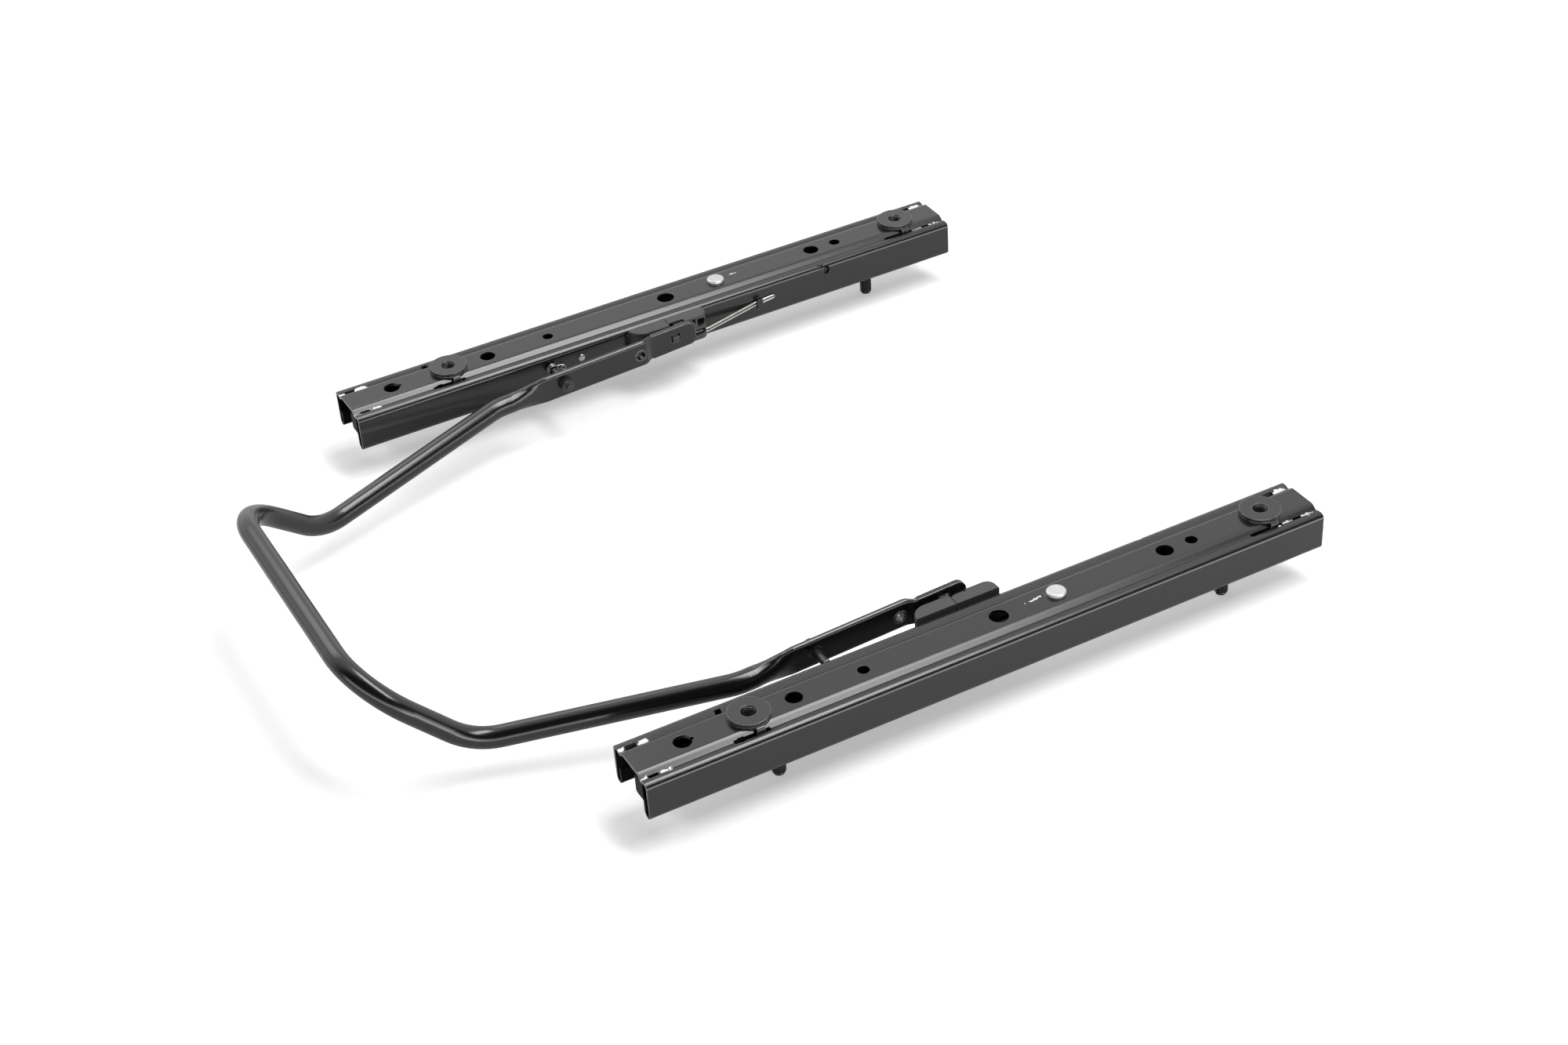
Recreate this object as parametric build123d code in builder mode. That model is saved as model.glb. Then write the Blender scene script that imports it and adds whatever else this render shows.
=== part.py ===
from build123d import *
import math
import os

# Seat slide rails: two sliding rails on floor studs, joined by one lift-to-release handle loop.
# All lengths in mm. Origin: centre of the four floor studs, on the floor face. +X is rearward,
# +Y is the seat's right-hand side, +Z is up. "Left" is -Y and "right" is +Y.

# Layout
rail_spacing = 406.0
floor_stud_spacing = 290.0
seat_nut_spacing = 330.0
seat_nut_middle = 5.0
upper_front, upper_rear = -230.0, 200.0
lower_length = 375.0
travel_forward, travel_rearward = 120.0, 40.0

# Upper rail section, an open channel with rolled-in lips
upper_width = 40.0
upper_sheet = 1.8
upper_bottom = 1.0
shoulder_top = 25.0
crown_top = 26.6
crown_from_side = 11.0
groove_from_side = 7.1
groove_drop = 0.8
lip_top = 12.0
shoulder_bend = 1.9
groove_bend = 1.5
crown_bend = 3.2

# Lower rail section, hooked over the lips
lower_sheet = 2.0
leg_clear = 0.5
lip_room = 2.0
lower_flange_top = 16.8
lower_leg_bottom = 7.5
lower_bend = 1.6

base_window_x, base_window_long, base_window_wide = -107.0, 16.0, 12.8
base_slot_xs, base_slot_long, base_slot_wide = (20.0, 80.0), 24.0, 9.0
rail_stop_x, rail_stop_top = -99.0, 18.0

# Rolling parts
ball_dia = 5.95
ball_gap = 0.025
ball_rows = (-119.0, 5.0, 130.0)
cage_front, cage_rear = -127.0, 140.0
cage_straps = (65.0, 115.0)
cage_clear = 0.3

# Fasteners
stud_dia = 8.0
stud_below = 20.0
stud_head_dia, stud_head_high = 13.0, 2.4
stud_neck_dia = 8.6
nut_disc_dia, nut_disc_high = 24.0, 3.2
nut_bore_dia, nut_mouth_dia = 8.5, 9.4
nut_body_dia, nut_body_deep = 13.0, 6.2
hole_clear = 0.1
rivet_at = 32.0
middle_hole_x = -5.2
end_slot_from_front, end_slot_from_rear = 7.2, 14.0
rivet_head_dia, rivet_head_high, rivet_shank_dia = 11.6, 2.4, 6.0

# Latch
tooth_pitch, tooth_width, tooth_count = 10.0, 5.0, 4
tooth_play = 0.25
tooth_high, tooth_below_leg = 2.3, 0.6
latch_at = -17.9
lock_lift = 3.4
housing_front, housing_rear, housing_seam = -44.0, 9.5, -18.0
housing_bottom, housing_top = 8.2, 26.0
housing_deep, housing_skin = 12.0, 1.2
rabbet_wide, rabbet_z = 2.6, 21.5
plate_face = 7.0
plate_thick, plate_past_teeth = 2.6, 3.0
plate_slack = 0.3
tab_long, tab_high, tab_z = 5.0, 3.6, 19.4
lever_hole_long, lever_hole_high, lever_hole_z = 6.8, 5.7, 20.2
spring_wire, strand_spacing = 1.5, 2.0
spring_tip_y, spring_tip_z = 8.0, 10.9

# Handle loop
tube_dia, tube_wall = 12.7, 1.5
arm_from_wall, lever_end_from_wall, pin_end_from_wall = 20.5, 17.8, 29.2
arm_end_x, arm_end_z = -136.0, 14.1
arm_knee_x, arm_knee_z = -146.0, 13.7
loop_bend = (-283.2, 116.0, 2.6)
loop_corner = (-336.1, 98.5, 50.7)
knee_radius, bend_radius, corner_radius = 34.0, 37.0, 42.0
lever_slope = 0.044
lever_thick, lever_high = 4.2, 18.0
lever_flat_from, joggle_from, joggle_to, joggle_ease = -112.0, -40.6, -36.2, 1.5
lever_end_thick, lever_end_high = 3.0, 16.6
lever_tip = -3.2
pivot_x, pivot_z = -98.6, 16.1
small_hole_x, small_hole_z, small_hole_dia = -45.0, 17.7, 5.8
pin_dia, pin_end_dia, pin_end_long = 5.0, 4.0, 2.2
coil_wire, coil_turns = 1.1, 3
bush_dia, bush_flange_dia, bush_flange_thick = 7.6, 9.2, 3.0
running_clear = 0.05

rail_y = rail_spacing / 2
inner_wall_y = rail_y - upper_width / 2
wall_inside_y = inner_wall_y + upper_sheet
half = upper_width / 2
crown_half_width = half - crown_from_side
groove_at = half - groove_from_side
lower_leg_at = half - upper_sheet - leg_clear - lower_sheet / 2
lip_inner_at = lower_leg_at - lower_sheet / 2 - leg_clear - upper_sheet
lower_web_at = lip_inner_at - lip_room - lower_sheet / 2
arm_y = inner_wall_y - arm_from_wall
arm_end = (arm_end_x, arm_y, arm_end_z)
arm_knee = (arm_knee_x, arm_y, arm_knee_z)
lever_end_y = inner_wall_y - lever_end_from_wall
pin_free_end = inner_wall_y - pin_end_from_wall
lower_half = lower_length / 2
tooth_bottom = lower_leg_bottom - tooth_below_leg - tooth_high
plate_half = tooth_pitch * (tooth_count - 1) / 2 + plate_past_teeth
plate_top = tab_z + tab_high / 2
plate_in_y = inner_wall_y - plate_face
plate_out_y = plate_in_y + plate_thick
housing_face_y = inner_wall_y - housing_deep
tooth_xs = [latch_at + (i - (tooth_count - 1) / 2) * tooth_pitch for i in range(tooth_count)]


def rounded_path(points, radii, closed=False):
    """Lines and arcs through the points, each corner rounded to its radius; inside a BuildLine."""
    pts = [Vector(*p) for p in points]
    n = len(pts)
    starts, ends, mids = [], [], []
    for i, p in enumerate(pts):
        r = radii[i]
        if r <= 0 or (not closed and i in (0, n - 1)):
            starts.append(p), ends.append(p), mids.append(None)
            continue
        a = (pts[i - 1] - p).normalized()
        b = (pts[(i + 1) % n] - p).normalized()
        angle = math.radians(a.get_angle(b))
        reach = r / math.tan(angle / 2)
        middle = (a + b).normalized()
        starts.append(p + a * reach)
        ends.append(p + b * reach)
        mids.append(p + middle * (r / math.sin(angle / 2) - r))
    for i in range(n if closed else n - 1):
        if mids[i] is not None:
            ThreePointArc(starts[i], mids[i], ends[i])
        j = (i + 1) % n
        if (starts[j] - ends[i]).length > 1e-4:
            Line(ends[i], starts[j])
    if not closed and mids[n - 1] is not None:
        ThreePointArc(starts[n - 1], mids[n - 1], ends[n - 1])


def strip_outline(points, radii, thick):
    """Corner points and radii of a bent strip of even thickness about a middle line."""
    n = len(points)
    sides = {1: [], -1: []}
    rounds = {1: [], -1: []}
    for i in range(n):
        x, y = points[i]
        before = points[max(i - 1, 0)] if i else None
        after = points[i + 1] if i < n - 1 else None
        dirs = []
        if before:
            d = math.hypot(x - before[0], y - before[1])
            dirs.append(((x - before[0]) / d, (y - before[1]) / d))
        if after:
            d = math.hypot(after[0] - x, after[1] - y)
            dirs.append(((after[0] - x) / d, (after[1] - y) / d))
        turn = dirs[0][0] * dirs[-1][1] - dirs[0][1] * dirs[-1][0]
        normals = [(-dy, dx) for dx, dy in dirs]
        mx = sum(a for a, _ in normals)
        my = sum(b for _, b in normals)
        size = math.hypot(mx, my)
        mx, my = mx / size, my / size
        reach = thick / 2 / (mx * normals[0][0] + my * normals[0][1])
        for side in (1, -1):
            sides[side].append((x + side * reach * mx, y + side * reach * my))
            bend = radii[i] - side * math.copysign(thick / 2, turn) if radii[i] > 0 else 0
            rounds[side].append(max(bend, 0))
    return sides[1] + sides[-1][::-1], rounds[1] + rounds[-1][::-1]


def along_x(x, y=0.0):
    """A sketch plane across the rails: its first axis is Y and its second is Z."""
    return Plane(origin=(x, y, 0), x_dir=(0, 1, 0), z_dir=(1, 0, 0))


def facing_y(y):
    """A sketch plane along the rails: its first axis is X and its second is Z."""
    return Plane(origin=(0, y, 0), x_dir=(1, 0, 0), z_dir=(0, -1, 0))


t = upper_sheet
lip_mid = lip_inner_at + t / 2
wall_mid = half - t / 2
bottom_mid = upper_bottom + t / 2
shoulder_mid = shoulder_top - t / 2
crown_mid = crown_top - t / 2
groove_mid = shoulder_mid - groove_drop
j_bend = (wall_mid - lip_mid) / 2 - 0.02
upper_half_line = [
    (lip_mid, lip_top), (lip_mid, bottom_mid), (wall_mid, bottom_mid), (wall_mid, shoulder_mid),
    (groove_at + 2.2, shoulder_mid), (groove_at + 0.7, groove_mid), (groove_at - 0.7, groove_mid),
    (crown_half_width, crown_mid),
]
upper_half_bends = [0, j_bend, j_bend, shoulder_bend, groove_bend, groove_bend, groove_bend, crown_bend]
upper_line = upper_half_line + [(-y, z) for y, z in reversed(upper_half_line)]
upper_bends = upper_half_bends + upper_half_bends[::-1]

s = lower_sheet
leg_top = lower_flange_top - s / 2
lower_half_line = [
    (lower_leg_at, lower_leg_bottom), (lower_leg_at, leg_top), (lower_web_at, leg_top),
    (lower_web_at, s / 2),
]
lower_line = lower_half_line + [(-y, z) for y, z in reversed(lower_half_line)]
lower_bends = [0, lower_bend, lower_bend, lower_bend] * 2
lower_bends[4:] = lower_bends[:4][::-1]

upper_outline = strip_outline(upper_line, upper_bends, t)
lower_outline = strip_outline(lower_line, lower_bends, s)

nut_xs = (seat_nut_middle - seat_nut_spacing / 2, seat_nut_middle + seat_nut_spacing / 2)
stud_xs = (-floor_stud_spacing / 2, floor_stud_spacing / 2)
under_crown = crown_top - t
groove_hole_y = groove_at + 0.6
top_holes = ((nut_xs[0] - 39.2, 10.4), (nut_xs[0] + 27.0, 10.0), (nut_xs[0] + 69.5, 7.0),
             (middle_hole_x, 11.4), (nut_xs[1] - 65.6, 10.4), (nut_xs[1] - 47.5, 7.4))
prong_half = 2.4
bridge_front, bridge_rear = 50.5, 54.5
bridge_low, bridge_high = 11.4, 15.6
bridge_stands, bridge_sheet = 2.0, 1.4
wall_rivet_x, wall_rivet_z = -77.0, 16.4
oval_slot_x, oval_slot_z, edge_notch_x = 105.0, 20.6, 100.6
peg_xs, peg_z, peg_dia = (-40.0, 5.0), 17.5, 3.6


def make_upper_rail(name, side):
    """One upper rail. side is -1 for the left rail and +1 for the right."""
    yc = side * rail_y
    inward = -side
    with BuildPart() as rail:
        with BuildSketch(along_x(upper_front, yc)):
            with BuildLine():
                rounded_path(*upper_outline, closed=True)
            make_face()
        extrude(amount=upper_rear - upper_front)
        # end stop tab, turned in from the -Y lip at the front
        with BuildSketch(along_x(upper_front + 0.6, yc)):
            with BuildLine():
                rounded_path([(-lip_inner_at - t, 9.6), (-3.4, 9.6), (-3.4, 21.4), (-lip_inner_at + 1, 21.4),
                              (-lip_inner_at + 1, lip_top), (-lip_inner_at - t, lip_top)],
                             [0, 1.6, 1.6, 1.2, 0, 0], closed=True)
            make_face()
        extrude(amount=t)
        # spring bridge pushed out of the inner wall
        bridge_mid = ((bridge_front + bridge_rear) / 2, (bridge_low + bridge_high) / 2)
        with BuildSketch(facing_y(yc + inward * half)):
            with Locations(bridge_mid):
                RectangleRounded(bridge_rear - bridge_front, bridge_high - bridge_low + 2 * bridge_sheet, 0.8)
        extrude(amount=(bridge_stands + bridge_sheet) * side, dir=(0, -1, 0))
        with BuildSketch(facing_y(yc + inward * (half + bridge_stands))):
            with Locations(bridge_mid):
                Rectangle(bridge_rear - bridge_front + 5, bridge_high - bridge_low)
        extrude(amount=-(bridge_stands + t + 0.2) * side, dir=(0, -1, 0), mode=Mode.SUBTRACT)
        # holes through the crown
        with BuildSketch(Plane.XY.offset(under_crown - 0.5)):
            for x, dia in top_holes:
                with Locations((x, yc)):
                    Circle(dia / 2)
            with Locations((top_holes[0][0] + top_holes[0][1] / 2, yc)):
                Rectangle(2.6, 2.4)
            with Locations(*[(x, yc) for x in nut_xs]):
                Circle((nut_body_dia + hole_clear) / 2)
            with Locations((rivet_at, yc)):
                Circle((rivet_shank_dia + hole_clear) / 2)
        extrude(amount=4, mode=Mode.SUBTRACT)
        # slots punched in the two grooves
        with BuildSketch(Plane.XY.offset(20)):
            for x in nut_xs:
                with Locations((x - 5.0, yc - groove_hole_y)):
                    Rectangle(21.5, 3.2)
            with Locations((nut_xs[0] - 11.4, yc - groove_hole_y), (nut_xs[0] - 11.4, yc + groove_hole_y)):
                Rectangle(3.8, 4.0)
            end_slot_xs = (upper_front + end_slot_from_front, upper_rear - end_slot_from_rear)
            with Locations(*[(x, yc + k * groove_hole_y) for x in end_slot_xs for k in (-1, 1)]):
                Rectangle(6.2, 2.6)
        extrude(amount=8, mode=Mode.SUBTRACT)
        # openings through the inner wall: latch teeth, housing pegs, pivot pin, rivet, oval slot
        with BuildSketch(facing_y(yc + inward * (half + 0.5))):
            with Locations(*[(x, tooth_bottom + (lock_lift + tooth_high) / 2) for x in tooth_xs]):
                Rectangle(tooth_width + 2 * tooth_play, lock_lift + tooth_high + 2 * plate_slack)
            with Locations(*[(x, peg_z) for x in peg_xs]):
                Circle((peg_dia + hole_clear) / 2)
            with Locations((pivot_x, pivot_z)):
                Circle((pin_dia + hole_clear) / 2)
            with Locations((wall_rivet_x, wall_rivet_z)):
                Circle((3.0 + hole_clear) / 2)
            with Locations((oval_slot_x, oval_slot_z)):
                SlotOverall(6.4, 4.6, rotation=90)
        extrude(amount=-(t + 1.0) * side, dir=(0, -1, 0), mode=Mode.SUBTRACT)
        with BuildSketch(Plane.XY.offset(22.6)):
            with Locations((edge_notch_x, yc + inward * (half - 0.6))):
                Rectangle(4.0, 2.6)
        extrude(amount=4, mode=Mode.SUBTRACT)
    rail.part.label = name
    export_step(rail.part, f"parts/{name}.step")


def make_lower_rail(name, side):
    """One lower rail, its lock slots in the leg on the inner side."""
    yc = side * rail_y
    inward = -side
    with BuildPart() as rail:
        with BuildSketch(along_x(-lower_half, yc)):
            with BuildLine():
                rounded_path(*lower_outline, closed=True)
            make_face()
        extrude(amount=lower_length)
        with BuildSketch(Plane.XY.offset(-1)):
            with Locations(*[(x, yc) for x in stud_xs]):
                Circle((stud_neck_dia + hole_clear) / 2)
            with Locations((base_window_x, yc)):
                RectangleRounded(base_window_long, base_window_wide, 1.0)
            with Locations(*[(x, yc) for x in base_slot_xs]):
                SlotOverall(base_slot_long, base_slot_wide)
        extrude(amount=4, mode=Mode.SUBTRACT)
        # travel stop turned up out of the base
        stop_half = base_window_wide / 2 - 0.4
        with BuildSketch(along_x(rail_stop_x, yc)):
            with BuildLine():
                rounded_path([(-stop_half, 0.0), (stop_half, 0.0), (stop_half, rail_stop_top),
                              (-stop_half, rail_stop_top)], [0, 0, 2, 2], closed=True)
            make_face()
        extrude(amount=lower_sheet)
        # lock slots, open downwards, in the hooked leg
        first = tooth_xs[0] - travel_forward
        slots = [first + tooth_pitch * i
                 for i in range(int((travel_forward + travel_rearward) / tooth_pitch) + tooth_count)]
        slot_deep = lock_lift - tooth_below_leg + plate_slack
        with BuildSketch(facing_y(yc + inward * (lower_leg_at + s))):
            with Locations(*[(x, lower_leg_bottom) for x in slots]):
                Rectangle(tooth_width + 2 * tooth_play, 2 * slot_deep)
        extrude(amount=-2 * s * side, dir=(0, -1, 0), mode=Mode.SUBTRACT)
    rail.part.label = name
    export_step(rail.part, f"parts/{name}.step")


def make_seat_nuts(name, side):
    """Two round seat nuts, each with a prong turned down into the groove slot."""
    yc = side * rail_y
    with BuildPart() as nuts:
        with BuildSketch(Plane.XY.offset(crown_top)):
            with Locations(*[(x, yc) for x in nut_xs]):
                Circle(nut_disc_dia / 2)
        extrude(amount=nut_disc_high)
        chamfer(nuts.faces().group_by(Axis.Z)[-1].edges(), 0.3)
        with BuildSketch(Plane.XY.offset(crown_top + 1.25)):
            with Locations(*[(x, yc) for x in nut_xs]):
                Circle(nut_disc_dia / 2 + 1)
                Circle(nut_disc_dia / 2 - 0.25, mode=Mode.SUBTRACT)
        extrude(amount=0.3, mode=Mode.SUBTRACT)
        with BuildSketch(Plane.XY.offset(crown_top - nut_body_deep)):
            with Locations(*[(x, yc) for x in nut_xs]):
                Circle(nut_body_dia / 2)
        extrude(amount=nut_body_deep)
        for x in nut_xs:
            with BuildSketch(along_x(x - prong_half, yc)):
                with BuildLine():
                    over, down = crown_top + 0.65, -(groove_at + 0.7)
                    outline = strip_outline([(down + 3.6, over), (down, over), (down, over - 4.55)], [0, 1.1, 0], 1.3)
                    rounded_path(*outline, closed=True)
                make_face()
            extrude(amount=2 * prong_half)
        with BuildSketch(Plane.XY.offset(crown_top - nut_body_deep - 1)):
            with Locations(*[(x, yc) for x in nut_xs]):
                Circle(nut_bore_dia / 2)
        extrude(amount=nut_body_deep + nut_disc_high + 2, mode=Mode.SUBTRACT)
        mouth = (nut_mouth_dia - nut_bore_dia) / 2
        for z in (crown_top + nut_disc_high, crown_top - nut_body_deep):
            rims = nuts.edges().filter_by(GeomType.CIRCLE).filter_by(
                lambda e, z=z: abs(e.center().Z - z) < 0.01 and abs(e.radius - nut_bore_dia / 2) < 0.01)
            chamfer(rims, mouth)
    nuts.part.label = name
    export_step(nuts.part, f"parts/{name}.step")


def make_stop_block(name, side):
    """The travel stop under the crown."""
    yc = side * rail_y
    with BuildPart() as block:
        with BuildSketch(Plane.XY.offset(under_crown - 11.0)):
            with Locations((rivet_at, yc)):
                RectangleRounded(16.0, 14.0, 1.5)
                Circle((rivet_shank_dia + hole_clear) / 2, mode=Mode.SUBTRACT)
        extrude(amount=11.0)
    block.part.label = name
    export_step(block.part, f"parts/{name}.step")


def make_stop_rivet(name, side):
    """The bright rivet that holds the stop block to the crown."""
    yc = side * rail_y
    foot = under_crown - 11.0
    with BuildPart() as rivet:
        with BuildSketch(Plane.XY.offset(crown_top)):
            with Locations((rivet_at, yc)):
                Circle(rivet_head_dia / 2)
        extrude(amount=rivet_head_high)
        fillet(rivet.faces().sort_by(Axis.Z)[-1].edges(), 1.3)
        with BuildSketch(Plane.XY.offset(foot)):
            with Locations((rivet_at, yc)):
                Circle(rivet_shank_dia / 2)
        extrude(amount=crown_top - foot)
        with BuildSketch(Plane.XY.offset(foot - 1.6)):
            with Locations((rivet_at, yc)):
                Circle(rivet_head_dia / 2 - 1.0)
        extrude(amount=1.6)
    rivet.part.label = name
    export_step(rivet.part, f"parts/{name}.step")


def make_cage(name, side):
    """A moulded ball cage: one arm in each ball track, joined by two straps."""
    yc = side * rail_y
    low = lower_flange_top + cage_clear / 2
    inner = lower_web_at - 1.0
    outer = half - t - cage_clear
    ball_y = half - t - ball_gap - ball_dia / 2
    with BuildPart() as cage:
        with BuildSketch(Plane.XY.offset(low)):
            for k in (-1, 1):
                with Locations(((cage_front + cage_rear) / 2, yc + k * (inner + outer) / 2)):
                    RectangleRounded(cage_rear - cage_front, outer - inner, 0.8)
            for x, k in [(x, k) for x in ball_rows for k in (-1, 1)]:
                with Locations((x, yc + k * ball_y)):
                    Circle(ball_dia / 2 + cage_clear / 2, mode=Mode.SUBTRACT)
        extrude(amount=4.4)
        with BuildSketch(Plane.XY.offset(low)):
            with Locations(*[(x, yc) for x in cage_straps]):
                Rectangle(8.0, 2 * inner + 2)
        extrude(amount=1.2)
    cage.part.label = name
    export_step(cage.part, f"parts/{name}.step")


def make_balls(name, side):
    """The balls between the lower rail's flanges and the upper rail's shoulders."""
    yc = side * rail_y
    ball_y = half - t - ball_gap - ball_dia / 2
    ball_z = lower_flange_top + ball_gap + ball_dia / 2
    with BuildPart() as balls:
        for x, k in [(x, k) for x in ball_rows for k in (-1, 1)]:
            with Locations((x, yc + k * ball_y, ball_z)):
                Sphere(ball_dia / 2)
    balls.part.label = name
    export_step(balls.part, f"parts/{name}.step")


def housing_solid(side, front, rear):
    """A length of the moulded latch housing, from front to rear, as a part."""
    outer_y, face_y = inner_wall_y, housing_face_y
    rabbet_y = outer_y - rabbet_wide
    pocket_out = plate_out_y + plate_slack
    room = plate_half + plate_slack
    pocket_top = plate_top + lock_lift + plate_slack
    with BuildPart(mode=Mode.PRIVATE) as body:
        with BuildSketch(Plane.XY.offset(housing_bottom)):
            with BuildLine():
                rounded_path([(housing_front, side * outer_y), (housing_front, side * face_y),
                              (housing_rear, side * face_y), (housing_rear, side * outer_y)],
                             [0, 10.0, 5.5, 0], closed=True)
            make_face()
        extrude(amount=housing_top - housing_bottom)
        chamfer(body.faces().sort_by(Axis.Z)[-1].edges().filter_by(
            lambda e: abs(e.center().Y) < outer_y - 0.5), 0.5)
        # step beside the rail's shoulder
        with BuildSketch(Plane.XY.offset(rabbet_z)):
            with Locations(((housing_front + housing_rear) / 2, side * (rabbet_y + outer_y + 1) / 2)):
                Rectangle(housing_rear - housing_front + 2, outer_y - rabbet_y + 1)
        extrude(amount=6, mode=Mode.SUBTRACT)
        # room for the lock plate: wide and open towards the rail below, a narrow pocket above
        for near_y, far_y, top in ((face_y + 2.6, outer_y + 1, rabbet_z - housing_skin),
                                   (face_y + 2.6, pocket_out, pocket_top)):
            with BuildSketch(Plane.XY.offset(housing_bottom - 1)):
                with Locations((latch_at, side * (near_y + far_y) / 2)):
                    Rectangle(2 * room, far_y - near_y)
            extrude(amount=top - housing_bottom + 1, mode=Mode.SUBTRACT)
        # slot for the plate's tab, and the opening that shows the spring
        with BuildSketch(facing_y(side * (face_y - 0.5))):
            with Locations((latch_at, tab_z + lock_lift / 2)):
                Rectangle(tab_long + 1.2, tab_high + lock_lift + 2 * plate_slack)
            with Locations((3.4, 13.8)):
                RectangleRounded(7.6, 4.0, 0.8)
        extrude(amount=-4.4 * side, dir=(0, -1, 0), mode=Mode.SUBTRACT)
        # blind D hole and corner opening
        with BuildSketch(facing_y(side * (face_y - 0.5))):
            with BuildLine():
                Polyline([(1.8, 18.1), (1.8, 23.7), (4.7, 23.7)])
                RadiusArc((4.7, 23.7), (4.7, 18.1), 2.8)
                Line((4.7, 18.1), (1.8, 18.1))
            make_face()
            with BuildLine():
                Polyline([(-2.2, 24.4), (0.2, 24.4), (0.2, 20.7)], close=True)
            make_face()
        extrude(amount=-8.0 * side, dir=(0, -1, 0), mode=Mode.SUBTRACT)
        # notch above the lever's end, and the way through for the spring
        with BuildSketch(Plane.XY.offset(housing_top - 1.4)):
            with Locations((-12.9, side * (face_y + 1.0))):
                Rectangle(10.4, 3.0)
        extrude(amount=3, mode=Mode.SUBTRACT)
        with BuildSketch(along_x(-0.5, side * (outer_y - spring_tip_y))):
            with Locations((0, spring_tip_z)):
                Rectangle(spring_wire + 0.8, strand_spacing + spring_wire + 0.5)
        extrude(amount=12, mode=Mode.SUBTRACT)
        # pegs that snap into the rail's wall
        with BuildSketch(facing_y(side * (outer_y - 1))):
            with Locations(*[(x, peg_z) for x in peg_xs]):
                Circle(peg_dia / 2)
        extrude(amount=-(1 + t) * side, dir=(0, -1, 0))
        with BuildSketch(Plane.XZ):
            with Locations(((front + rear) / 2, 14)):
                Rectangle(rear - front, 60)
        extrude(amount=400, both=True, mode=Mode.INTERSECT)
    return body.part


def make_housing(name, side, front, rear):
    """One half of the latch housing."""
    with BuildPart() as piece:
        add(housing_solid(side, front, rear))
    piece.part.label = name
    export_step(piece.part, f"parts/{name}.step")


def make_lock_plate(name, side):
    """The sliding lock plate: teeth towards the rail, a tab towards the handle's lever."""
    tip_y = rail_y - (lip_inner_at + t) - plate_slack
    tab_y = lever_end_y - lever_end_thick / 2 - 1.0
    with BuildPart() as plate:
        with BuildSketch(facing_y(side * (plate_in_y + plate_out_y) / 2)):
            with BuildLine():
                rounded_path([(latch_at - plate_half, tooth_bottom), (latch_at + plate_half, tooth_bottom),
                              (latch_at + plate_half, plate_top), (latch_at - plate_half, plate_top)],
                             [0, 0, 2, 2], closed=True)
            make_face()
        extrude(amount=plate_thick / 2, both=True)
        with BuildSketch(Plane.XY.offset(tooth_bottom)):
            for x in tooth_xs:
                with Locations((x, side * (plate_out_y - 1 + tip_y) / 2)):
                    Rectangle(tooth_width, tip_y - plate_out_y + 1)
        extrude(amount=tooth_high)
        with BuildSketch(facing_y(side * (plate_in_y + 0.5))):
            with Locations((latch_at, tab_z)):
                Rectangle(tab_long, tab_high)
        extrude(amount=(plate_in_y + 0.5 - tab_y) * side, dir=(0, -1, 0))
        # foot that the spring lifts
        foot_z = spring_tip_z + (strand_spacing + spring_wire) / 2 + plate_slack
        foot_y = inner_wall_y - spring_tip_y - spring_wire / 2
        with BuildSketch(facing_y(side * (plate_in_y + 0.5))):
            with Locations((latch_at + plate_half - 2.0, foot_z + 0.8)):
                Rectangle(4.0, 1.6)
        extrude(amount=(plate_in_y + 0.5 - foot_y) * side, dir=(0, -1, 0))
        chamfer(plate.faces().sort_by(Axis.Y)[0 if side > 0 else -1].edges(), 0.4)
    plate.part.label = name
    export_step(plate.part, f"parts/{name}.step")


def make_latch_spring(name, side):
    """The hairpin wire that lifts the lock plate, held under the rail's bridge."""
    tip_y = side * (inner_wall_y - spring_tip_y)
    wall_y = side * (inner_wall_y - spring_wire / 2 - 0.25)
    front_x = latch_at + plate_half - 3.8
    run = [(front_x, tip_y, spring_tip_z), (housing_rear + 1.5, tip_y, spring_tip_z),
           (bridge_front - 1.5, wall_y, (bridge_low + bridge_high) / 2 - 0.2),
           (bridge_rear + 9.5, wall_y, 14.7)]
    lift = strand_spacing / 2
    points = [(x, y, z + lift) for x, y, z in run] + [(x, y, z - lift) for x, y, z in reversed(run)]
    with BuildPart() as spring:
        with BuildLine() as path:
            rounded_path(points, [0, 8, 6, lift - 0.02, lift - 0.02, 6, 8, 0])
        with BuildSketch(Plane(origin=path.line @ 0, z_dir=path.line % 0)):
            Circle(spring_wire / 2)
        sweep(path=path.line)
    spring.part.label = name
    export_step(spring.part, f"parts/{name}.step")


def make_pivot_pin(name, side):
    """The pin the handle's lever turns on, riveted into the rail's inner wall."""
    with BuildPart() as pin:
        with BuildSketch(facing_y(side * wall_inside_y)):
            with Locations((pivot_x, pivot_z)):
                Circle(pin_dia / 2)
        extrude(amount=(wall_inside_y - pin_free_end - pin_end_long) * side, dir=(0, -1, 0))
        with BuildSketch(facing_y(side * (pin_free_end + pin_end_long))):
            with Locations((pivot_x, pivot_z)):
                Circle(pin_end_dia / 2)
        extrude(amount=pin_end_long * side, dir=(0, -1, 0))
        chamfer(pin.faces().sort_by(Axis.Y)[0 if side > 0 else -1].edges(), 0.4)
    pin.part.label = name
    export_step(pin.part, f"parts/{name}.step")


def make_pin_clip(name, side):
    """The retaining ring on the pin's free end."""
    lever_face = arm_end[1] - lever_thick / 2 - bush_flange_thick
    with BuildPart() as clip:
        with BuildSketch(facing_y(side * (lever_face - 0.2))):
            with Locations((pivot_x, pivot_z)):
                Circle(4.1)
                Circle(pin_dia / 2, mode=Mode.SUBTRACT)
                with Locations((0, -4)):
                    Rectangle(2.6, 4.6, mode=Mode.SUBTRACT)
        extrude(amount=1.2 * side, dir=(0, -1, 0))
    clip.part.label = name
    export_step(clip.part, f"parts/{name}.step")


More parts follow.
